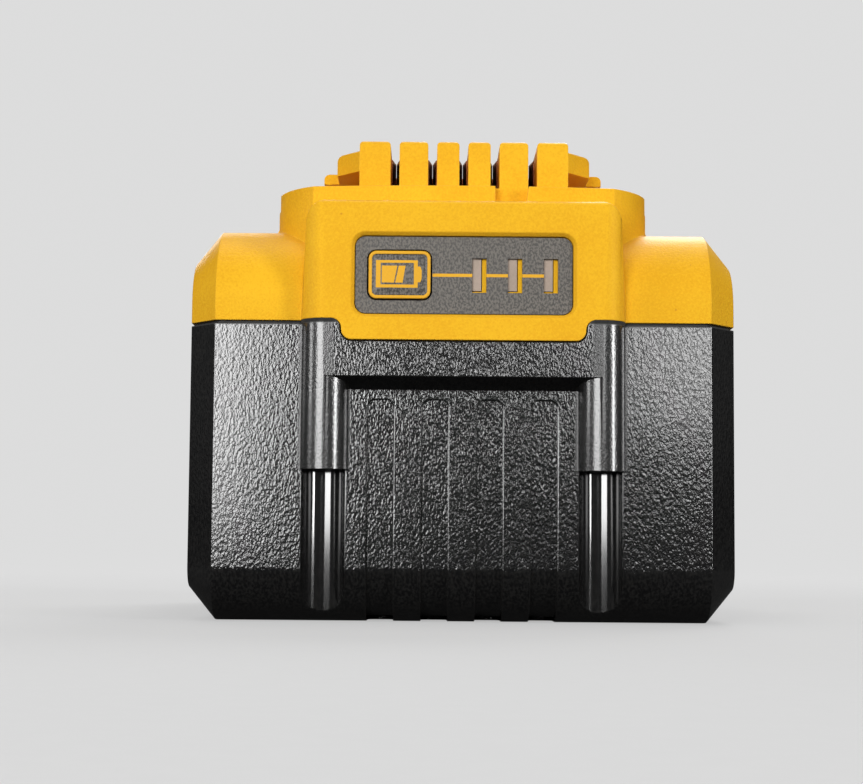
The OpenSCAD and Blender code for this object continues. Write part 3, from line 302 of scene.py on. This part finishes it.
# dark and light tone, roughness, and the pattern's stretch, small along the drawn lines
metalLook = {
    "screw_steel": ((0.16, 0.16, 0.165), (0.32, 0.32, 0.33), 0.34, (1, 1, 0.2)),
    "spring_steel": ((0.38, 0.38, 0.39), (0.6, 0.6, 0.61), 0.26, (1, 1, 1)),
    "strip_nickel": ((0.48, 0.46, 0.43), (0.64, 0.62, 0.59), 0.3, (1, 0.1, 1)),
    "switch_steel": ((0.42, 0.42, 0.43), (0.6, 0.6, 0.6), 0.32, (0.2, 1, 1)),
    # contact_copper's tones are the copper's own colour, darkened further as painted shade of the gaps
    # between the fins
    "contact_copper": ((0.13, 0.035, 0.016), (0.5, 0.17, 0.075), 0.3, (1, 0.15, 1)),
}
metalMix = {"lineScale": 3.0, "stainScale": 0.4, "toneRange": (0.3, 0.7), "roughSpread": 0.25,
            "bump": 0.3, "lineDepth": 0.01}


# drawn or rolled metal: fine lines along one axis and slow stains
def metalFinish(name, dark, light, rough, stretch):
    look = metalMix
    finish, shader, place = newFinish(name)
    lines = place.scaled(stretch).noise(look["lineScale"], detail=3.0, roughness=0.6)
    stain = place.noise(look["stainScale"], detail=3.0, roughness=0.6)
    tone = (lines * 0.5 + stain * 0.5).step(*look["toneRange"])
    feed(shader, Base_Color=tone.blend(dark, light), Metallic=1.0,
         Roughness=rough + (stain - 0.5) * look["roughSpread"],
         Normal=bumpFrom(lines, look["bump"], look["lineDepth"]))
    return finish


wrapLook = {"wrap": (0.035, 0.13, 0.36), "can": (0.55, 0.54, 0.52), "end": 31.9, "rough": 0.32,
            "roughSpread": 0.2, "cloudScale": 0.15, "waveScale": 0.6, "bump": 0.4, "waveDepth": 0.03}


# blue shrink wrap on the can, bare metal on its two ends
def wrapFinish(name):
    look = wrapLook
    finish, shader, place = newFinish(name)
    bare = abs(place.split()[0]).past(look["end"], blur=0.05)
    cloud = place.noise(look["cloudScale"])
    wave = place.noise(look["waveScale"])
    feed(shader, Base_Color=bare.blend(look["wrap"], look["can"]), Metallic=bare,
         Roughness=look["rough"] + (cloud - 0.5) * look["roughSpread"],
         Normal=bumpFrom(wave, look["bump"], look["waveDepth"]))
    return finish


boardLook = {"mask": (0.012, 0.10, 0.045), "trace": (0.03, 0.19, 0.085), "trackScale": 0.35,
             "trackEdge": (0.05, 0.09), "rough": 0.28, "roughSpread": 0.15, "roughScale": 1.2,
             "bump": 0.5, "trackDepth": 0.04}


# solder mask over square-cornered tracks
def boardFinish(name):
    look = boardLook
    finish, shader, place = newFinish(name)
    tracks = place.cells(look["trackScale"], distance="MANHATTAN", feature="DISTANCE_TO_EDGE")
    between = tracks.step(*look["trackEdge"])
    feed(shader, Base_Color=between.blend(look["trace"], look["mask"]),
         Roughness=look["rough"] + place.noise(look["roughScale"]) * look["roughSpread"],
         Normal=bumpFrom(1 - between, look["bump"], look["trackDepth"]))
    return finish


# a slot's name as its material's: latch_black to latchBlack
def finishName(slot):
    first, *others = slot.split("_")
    return first + "".join(word.title() for word in others)


makers = {"shell_yellow": yellowFinish, "case_black": blackFinish, "overlay_grey": overlayFinish,
          "key_grey": overlayFinish, "cell_wrap": wrapFinish, "board_green": boardFinish}
finishes = {slot: make(finishName(slot)) for slot, make in makers.items()}
finishes |= {slot: plainFinish(finishName(slot), *look) for slot, look in plainLook.items()}
finishes |= {slot: metalFinish(finishName(slot), *look) for slot, look in metalLook.items()}
for entry in frame["record"]["subparts"]:
    for slot in nodes[entry["node"]].material_slots:
        slot.material = finishes[entry["material_slot"]]
print("finishes:", len(finishes))

sharpAngle = math.radians(28)


# an empty modifier tree, as the wire of the geometry that comes in
def newTree(name):
    tree = bpy.data.node_groups.new(name, "GeometryNodeTree")
    for side in ("INPUT", "OUTPUT"):
        tree.interface.new_socket("Geometry", in_out=side, socket_type="NodeSocketGeometry")
    return Wire(tree).add("NodeGroupInput")


# the finished tree, with this geometry going out
def closeTree(geometry):
    end = geometry.tree.nodes.new("NodeGroupOutput")
    fill(end.inputs[0], geometry)
    return geometry.tree


# the mesh edges whose angle is above or below the sharp one; a signed angle is positive where they stand out
def edgesBy(start, kind, operation):
    angle = start.add("GeometryNodeInputMeshEdgeAngle", pick=kind)
    return start.add("FunctionNodeCompare", {"operation": operation}, {0: angle, 1: sharpAngle})


# bevel weights of the edges that stand out, and of all sharp edges in the zones: boxes in |x|, |y| and z
def markEdges(name, weight, zones):
    start = newTree(name)

    def choose(mask, other, value):
        return start.add("GeometryNodeSwitch", {"input_type": "FLOAT"},
                         {"Switch": mask, "False": other, "True": value})

    sharp = edgesBy(start, "Unsigned Angle", "GREATER_THAN")
    share = choose(edgesBy(start, "Signed Angle", "GREATER_THAN"), 0.0, weight)
    place = start.add("GeometryNodeInputPosition")
    folded = place.vector("ABSOLUTE", place)
    for low, high, own in zones:
        centre = (np.array(low) + high) / 2 * mm
        half = (np.array(high) - low) / 2 * mm
        offset = folded.vector("SUBTRACT", folded, centre.tolist())
        inside = start.add("FunctionNodeCompare",
                           {"data_type": "VECTOR", "mode": "ELEMENT", "operation": "LESS_THAN"},
                           {4: offset.vector("ABSOLUTE", offset), 5: half.tolist()})
        share = choose(inside, share, choose(sharp, 0.0, own))
    return closeTree(start.add("GeometryNodeStoreNamedAttribute", {"data_type": "FLOAT", "domain": "EDGE"},
                               {"Geometry": start, "Name": "bevel_weight_edge", "Value": share}))


# smooth shading on all faces, and across the edges below the sharp angle
def shadeTree(name):
    start = newTree(name)
    faces = start.add("GeometryNodeSetShadeSmooth", {}, {"Geometry": start})
    below = edgesBy(start, "Unsigned Angle", "LESS_THAN")
    return closeTree(start.add("GeometryNodeSetShadeSmooth", {"domain": "EDGE"},
                               {"Geometry": faces, "Shade Smooth": below}))


shadeSmooth = shadeTree("shadeSmooth")
softenLook = {"join": 0.002, "flat": 0.4, "segments": 2}  # join in millimetres, flat in degrees


# joins the loose triangles, rounds the marked edges and shades the rest smooth
def softenEdges(piece, width, weight, zones):
    look = softenLook
    weld = piece.modifiers.new("weld", "WELD")
    weld.merge_threshold = look["join"] * mm
    flat = piece.modifiers.new("flat", "DECIMATE")
    flat.decimate_type = "DISSOLVE"
    flat.angle_limit = math.radians(look["flat"])
    if width:
        marks = markEdges("mark_" + piece.name, weight, zones)
        piece.modifiers.new("mark", "NODES").node_group = marks
        edge = piece.modifiers.new("edge", "BEVEL")
        edge.width = width * mm
        edge.segments = look["segments"]
        edge.limit_method = "WEIGHT"
        edge.use_clamp_overlap = False
        edge.miter_outer = "MITER_ARC"
    piece.modifiers.new("shade", "NODES").node_group = shadeSmooth
    even = piece.modifiers.new("even", "WEIGHTED_NORMAL")
    even.keep_sharp = True


# boxes from a low to a high corner, in millimetres, with their edges' share of the width;
# a box that takes in the middle plane starts below 0
finZone = ((-1, 20, 60.6), (15, 51, 68), 0.0)
fluteZone = ((-1, 49, 12), (14, 55, 26), 1.0)
bossStepZone = ((22.1, 53, 40.85), (22.6, 54.5, 41.35), 0.0)
# width in millimetres, its share on the edges that stand out, and zones with their own share
edgeLook = {
    "upper_cover": (0.08, 1.0, [finZone]),
    "lower_case": (0.2, 0.5, [fluteZone, bossStepZone]),
    "release_latch": (0.3, 1.0, []),
    "gauge_overlay": (0.05, 1.0, []),
}
for name, piece in nodes.items():
    softenEdges(piece, *edgeLook.get(name, (0, 0, [])))
print("edges softened")

joinWithin = 1e-8  # metres


# points[u, v] to quads between neighbours, with equal points joined at seams and poles
def gridPiece(name, points, closeU=False, closeV=False, smooth=True):
    index = np.arange(points.shape[0] * points.shape[1]).reshape(points.shape[:2])
    if closeU:
        index = np.concatenate([index, index[:1]], axis=0)
    if closeV:
        index = np.concatenate([index, index[:, :1]], axis=1)
    quads = np.stack([index[:-1, :-1], index[1:, :-1], index[1:, 1:], index[:-1, 1:]], axis=-1)
    mesh = bpy.data.meshes.new(name)
    mesh.from_pydata(points.reshape(-1, 3).tolist(), [], quads.reshape(-1, 4).tolist())
    shape = bmesh.new()
    shape.from_mesh(mesh)
    bmesh.ops.remove_doubles(shape, verts=shape.verts, dist=joinWithin)
    bmesh.ops.dissolve_degenerate(shape, edges=shape.edges, dist=joinWithin)
    bmesh.ops.recalc_face_normals(shape, faces=shape.faces)
    shape.to_mesh(mesh)
    shape.free()
    mesh.polygons.foreach_set("use_smooth", np.full(len(mesh.polygons), smooth))
    piece = bpy.data.objects.new(name, mesh)
    scene.collection.objects.link(piece)
    return piece


def dress(piece, body, finish):
    piece.data.materials.append(finish)
    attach(piece, body)


# a rectangle's outline with round corners: quarter circles about four centres, all drawn in by an inset
def roundOutline(width, height, radius, inset, perCorner=9, leastBend=0.03):
    bend = max(radius - inset, leastBend)
    acrossX, acrossZ = width / 2 - inset - bend, height / 2 - inset - bend
    sides = np.array([(1, 1), (-1, 1), (-1, -1), (1, -1)])
    turn = np.arange(4)[:, None] * math.pi / 2 + np.linspace(0, math.pi / 2, perCorner)
    arcs = np.stack([sides[:, :1] * acrossX + bend * np.cos(turn),
                     sides[:, 1:] * acrossZ + bend * np.sin(turn)], axis=-1)
    return arcs.reshape(-1, 2)


# outlines [x, z] about a centre, each at its depth y, in millimetres, one behind the other
def stackPoints(rows, centre):
    outlines = np.stack([outline for outline, depth in rows]) + np.array(centre)
    depths = np.array([[depth] for outline, depth in rows])
    across, height = outlines[..., 0], outlines[..., 1]
    return np.stack([across, np.broadcast_to(depths, across.shape), height], axis=-1) * mm


# the same stack with both its ends closed to a point in the middle
def closedStack(name, rows, centre, smooth):
    first, last = ((np.zeros_like(outline) + outline.mean(axis=0), depth)
                   for outline, depth in (rows[0], rows[-1]))
    return gridPiece(name, stackPoints([first, *rows, last], centre), closeV=True, smooth=smooth)


# width, height and corner radius of the cap, and the crown's drop at each inset from the cap's outline
keyLook = {"cap": (8.5, 6.6, 1.1), "flangeRadius": 1.5, "flangeBehind": 2.6,
           "crown": [(0.0, 0.16), (0.03, 0.07), (0.08, 0.03), (0.16, 0.0), (0.34, 0.0), (0.44, 0.03),
                     (0.56, 0.1), (0.7, 0.13), (0.85, 0.1), (1.0, 0.05), (2.9, 0.05)]}
keyLow, keyHigh = (np.array(corner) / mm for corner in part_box("gauge_button"))
keyCentre = (keyLow + keyHigh)[[0, 2]] / 2
keyFace, keyBack = keyLow[1], keyHigh[1]


# gauge key: outlines carried back from the face, with a raised rim, a groove inside it, a nearly flat
# middle, and the flange behind the wall
def makeKey():
    look = keyLook
    flange = (*(keyHigh - keyLow)[[0, 2]], look["flangeRadius"])
    step = keyFace + look["flangeBehind"]
    rows = [(roundOutline(*look["cap"], inset), keyFace + drop) for inset, drop in reversed(look["crown"])]
    rows.append((roundOutline(*look["cap"], 0), step))
    rows.append((roundOutline(*flange, 0), step))
    rows.append((roundOutline(*flange, 0), keyBack))
    key = closedStack("key_cap", rows, keyCentre, True)
    key.modifiers.new("shade", "NODES").node_group = shadeSmooth
    dress(key, "gauge_key", finishes["key_grey"])
    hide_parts("gauge_button")


# ring: insets from the cap's outline; flat: the drop of the key's middle; outer and inner: left, right,
# low and high sides of the symbol's frame
printLook = {
    "rise": 0.02, "sink": 0.03, "ring": (0.02, 0.47), "ringSteps": 9, "flat": 0.05,
    "outer": (-3.24, 2.48, -1.79, 1.99), "inner": (-2.59, 1.94, -1.36, 1.62),
    "bars": {
        "first": [(-2.44, 1.23), (-0.32, 1.23), (-0.76, -1.10), (-2.44, -1.10)],
        "second": [(-0.11, 1.23), (0.80, 1.23), (0.43, -1.10), (-0.60, -1.10)],
        "nub": [(2.48, -1.04), (2.84, -1.04), (3.02, -0.5), (3.02, 0.58), (2.84, 1.12), (2.48, 1.12)],
    },
    "lineZ": (47.14, 47.58), "lineX": [(-4.3, 1.125), (3.075, 6.025), (7.975, 10.925)],
}


def rectangle(left, right, low, high):
    return np.array([(left, low), (right, low), (right, high), (left, high)])


# raised print: the key's ring, which follows the crown, the charge symbol on its middle, and the line
# between the lights; each runs from its rise before the surface to its sink behind it
def makePrint():
    look = printLook
    rise, sink = look["rise"], look["sink"]
    finish = finishes["print_yellow"]

    def plate(name, body, outline, face, centre):
        rows = [(np.array(outline), face - rise), (np.array(outline), face + sink)]
        dress(closedStack(name, rows, centre, False), body, finish)

    insets = np.linspace(*look["ring"], look["ringSteps"])
    depths = keyFace + np.interp(insets, *np.transpose(keyLook["crown"]))
    outlines = [roundOutline(*keyLook["cap"], inset) for inset in insets]
    rows = [*zip(outlines, depths - rise), *reversed([*zip(outlines, depths + sink)])]
    ring = gridPiece("key_ring", stackPoints(rows, keyCentre), closeU=True, closeV=True)
    dress(ring, "gauge_key", finish)
    middle = keyFace + look["flat"]
    outer, inner = rectangle(*look["outer"]), rectangle(*look["inner"])
    rows = [(outer, middle - rise), (inner, middle - rise), (inner, middle + sink), (outer, middle + sink)]
    symbol = gridPiece("charge_symbol", stackPoints(rows, keyCentre), closeU=True, closeV=True, smooth=False)
    dress(symbol, "gauge_key", finish)
    for name, outline in look["bars"].items():
        plate("charge_" + name, "gauge_key", outline, middle, keyCentre)
    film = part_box("gauge_overlay")[0][1] / mm
    for number, ends in enumerate(look["lineX"], 1):
        plate(f"light_line_{number}", "pack", rectangle(*ends, *look["lineZ"]), film, (0, 0))


# closedPitch: rise of the closed ends in wire radii; tipRings: rings over which a tip grows
springLook = {"centres": {"left": -9.0, "right": 9.0}, "y": 38.0, "low": 43.2, "high": 53.5, "radius": 2.65,
              "wire": 0.345, "curls": 5.0, "flatPart": 0.14, "closedPitch": 2.1, "rings": 240, "sides": 12,
              "tipRings": 3, "keep": 0.549}


# compression spring: a circle carried along a helix that rises by a wire's width in its closed ends and
# by the rest between them, with round tips
def makeSprings():
    look = springLook
    share = np.linspace(0, 1, look["rings"] + 1)
    rise = np.clip((share - look["flatPart"]) / (1 - 2 * look["flatPart"]), 0, 1)
    closed = look["closedPitch"] * look["wire"]
    room = look["high"] - look["low"] - 2 * look["wire"] - 2 * closed
    ends = np.minimum(share, look["flatPart"]) - np.minimum(1 - share, look["flatPart"])
    height = look["low"] + look["wire"] + closed + rise * room + closed * ends / look["flatPart"]
    angle = share[:, None] * look["curls"] * 2 * math.pi
    around = np.linspace(0, 2 * math.pi, look["sides"], endpoint=False)
    tip = np.sqrt(np.clip(np.minimum(share, 1 - share) * look["rings"] / look["tipRings"], 0, 1))
    thick = look["wire"] * tip[:, None]
    reach = look["radius"] + thick * np.cos(around)
    for side, x in look["centres"].items():
        points = np.stack([x + reach * np.cos(angle), look["y"] + reach * np.sin(angle),
                           height[:, None] + thick * np.sin(around)], axis=-1) * mm
        spring = gridPiece("spring_coil_" + side, points, closeV=True)
        dress(spring, "pack", finishes["spring_steel"])
        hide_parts("latch_spring_" + side)
        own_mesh(spring)


makeKey()
makePrint()
makeSprings()
print("key, print and springs made")

black, white = (0.0, 0.0, 0.0), (1.0, 1.0, 1.0)
# pale and nearGlow are what the camera sees, dark is what lights the pack; fade in millimetres, the
# sweep's own sizes in metres
floorLook = {
    "pale": (0.25, 0.25, 0.25), "dark": (0.05, 0.05, 0.05), "rough": 0.8,
    "grainScale": 0.4, "grainRange": (0.2, 0.8), "grainShade": 0.97,
    "seen": 0.72, "nearGlow": (0.62, 0.62, 0.62), "fade": (200.0, 700.0),
    "half": 3.0, "front": -2.5, "bend": 0.5, "radius": 0.9, "top": 2.6, "below": 0.00002, "bendSteps": 25,
}


# floor and backdrop in one sweep: a flat run, a quarter circle and an upright wall, carried along X;
# to the camera it is lit near the pack, where the shadow falls, and glows evenly farther out
def makeSweep():
    look = floorLook
    turn = np.linspace(0, math.pi / 2, look["bendSteps"])
    wall = look["bend"] + look["radius"]
    depth = np.concatenate([[look["front"]], look["bend"] + look["radius"] * np.sin(turn), [wall]])
    height = np.concatenate([[0.0], look["radius"] * (1 - np.cos(turn)), [look["top"]]]) - look["below"]
    across = np.array([-look["half"], 0.0, look["half"]])
    points = np.stack(np.broadcast_arrays(across[:, None], depth[None, :], height[None, :]), axis=-1)
    sweep = gridPiece("floor_sweep", points)
    finish, shader, place = newFinish("paleFloor")
    seen = place.add("ShaderNodeLightPath", pick="Is Camera Ray")
    grain = place.noise(look["grainScale"], detail=3.0).step(*look["grainRange"])
    x, y, z = place.split()
    far = ((x ** 2 + y ** 2 + z ** 2) ** 0.5).step(*look["fade"])
    shaded = tuple(look["grainShade"] * value for value in look["pale"])
    pale = far.blend(grain.blend(look["pale"], shaded), black)
    glow = far.blend(look["nearGlow"], white)
    feed(shader, Base_Color=seen.blend(look["dark"], pale), Roughness=look["rough"], Specular_IOR_Level=0.0,
         Emission_Color=seen.blend(black, glow), Emission_Strength=look["seen"])
    sweep.data.materials.append(finish)


# place in millimetres, angles in degrees, focal length and frame width in the picture's pixels
cameraLook = {"place": (-4.61, -312.49, 9.75), "yaw": 0.067, "pitch": 4.814, "roll": 0.469,
              "focal": 1890.0, "frameWidth": 863.0, "sensor": 36.0, "clipStart": 0.01}


# camera axes: right, up and backward, from yaw about Z, pitch above the floor and roll about the view
def makeCamera():
    look = cameraLook
    yaw, pitch, roll = (math.radians(look[key]) for key in ("yaw", "pitch", "roll"))
    flat = math.cos(pitch)
    ahead = np.array([math.sin(yaw) * flat, math.cos(yaw) * flat, math.sin(pitch)])
    level = np.array([math.cos(yaw), -math.sin(yaw), 0.0])
    upright = np.cross(level, ahead)
    right = math.cos(roll) * level + math.sin(roll) * upright
    up = math.cos(roll) * upright - math.sin(roll) * level
    camera = bpy.data.cameras.new("photoCamera")
    camera.sensor_width = look["sensor"]
    camera.lens = look["sensor"] * look["focal"] / look["frameWidth"]
    camera.clip_start = look["clipStart"]
    holder = bpy.data.objects.new("photoCamera", camera)
    matrix = np.eye(4)
    matrix[:3, :3] = np.stack([right, up, -ahead], axis=1)
    matrix[:3, 3] = np.array(look["place"]) * mm
    holder.matrix_world = Matrix(matrix.tolist())
    scene.collection.objects.link(holder)
    scene.camera = holder


# places and sizes in metres; level: a white surface's brightness when it faces the lamp
lampLook = {
    "keyLamp": {"place": (-0.435, -1.12, 0.258), "size": (0.63, 0.485), "level": 0.61},
    "nearLamp": {"place": (0.243, -1.18, 0.31), "size": (0.2, 0.42), "level": 0.12},
    "leftLamp": {"place": (-1.09, -0.51, 0.36), "size": (0.3, 0.5), "level": 0.22},
    "sideLamp": {"place": (1.0, -0.72, 0.26), "size": (0.22, 0.48), "level": 0.45},
    "topLamp": {"place": (0.0, 0.15, 1.3), "size": (0.8, 0.8), "level": 0.3},
    "backLamp": {"place": (0.35, 0.95, 0.95), "size": (0.6, 0.6), "level": 0.5},
    "rearLamp": {"place": (-0.35, 1.0, 0.6), "size": (0.4, 0.5), "level": 0.2},
}
lampAim = Vector((0.0, 0.0, 0.03))


def makeLamps():
    for name, look in lampLook.items():
        lamp = bpy.data.lights.new(name, "AREA")
        lamp.shape = "RECTANGLE"
        lamp.size, lamp.size_y = look["size"]
        away = lampAim - Vector(look["place"])
        lamp.energy = look["level"] * math.pi ** 2 * away.length_squared
        holder = bpy.data.objects.new(name, lamp)
        holder.location = look["place"]
        holder.rotation_euler = away.to_track_quat("-Z", "Y").to_euler()
        holder.visible_camera = False
        scene.collection.objects.link(holder)


worldLook = {"strength": 0.08, "seen": 0.72}  # what lights the pack, and what the camera sees


def makeWorld():
    world = bpy.data.worlds.new("studio")
    world.use_nodes = True
    seen = Wire(world.node_tree).add("ShaderNodeLightPath", pick="Is Camera Ray")
    extra = worldLook["seen"] - worldLook["strength"]
    feed(world.node_tree.nodes["Background"], Color=white, Strength=seen * extra + worldLook["strength"])
    scene.world = world


makeSweep()
makeCamera()
makeLamps()
makeWorld()
scene.view_settings.view_transform = "Standard"
print("floor, camera, lamps and world placed")
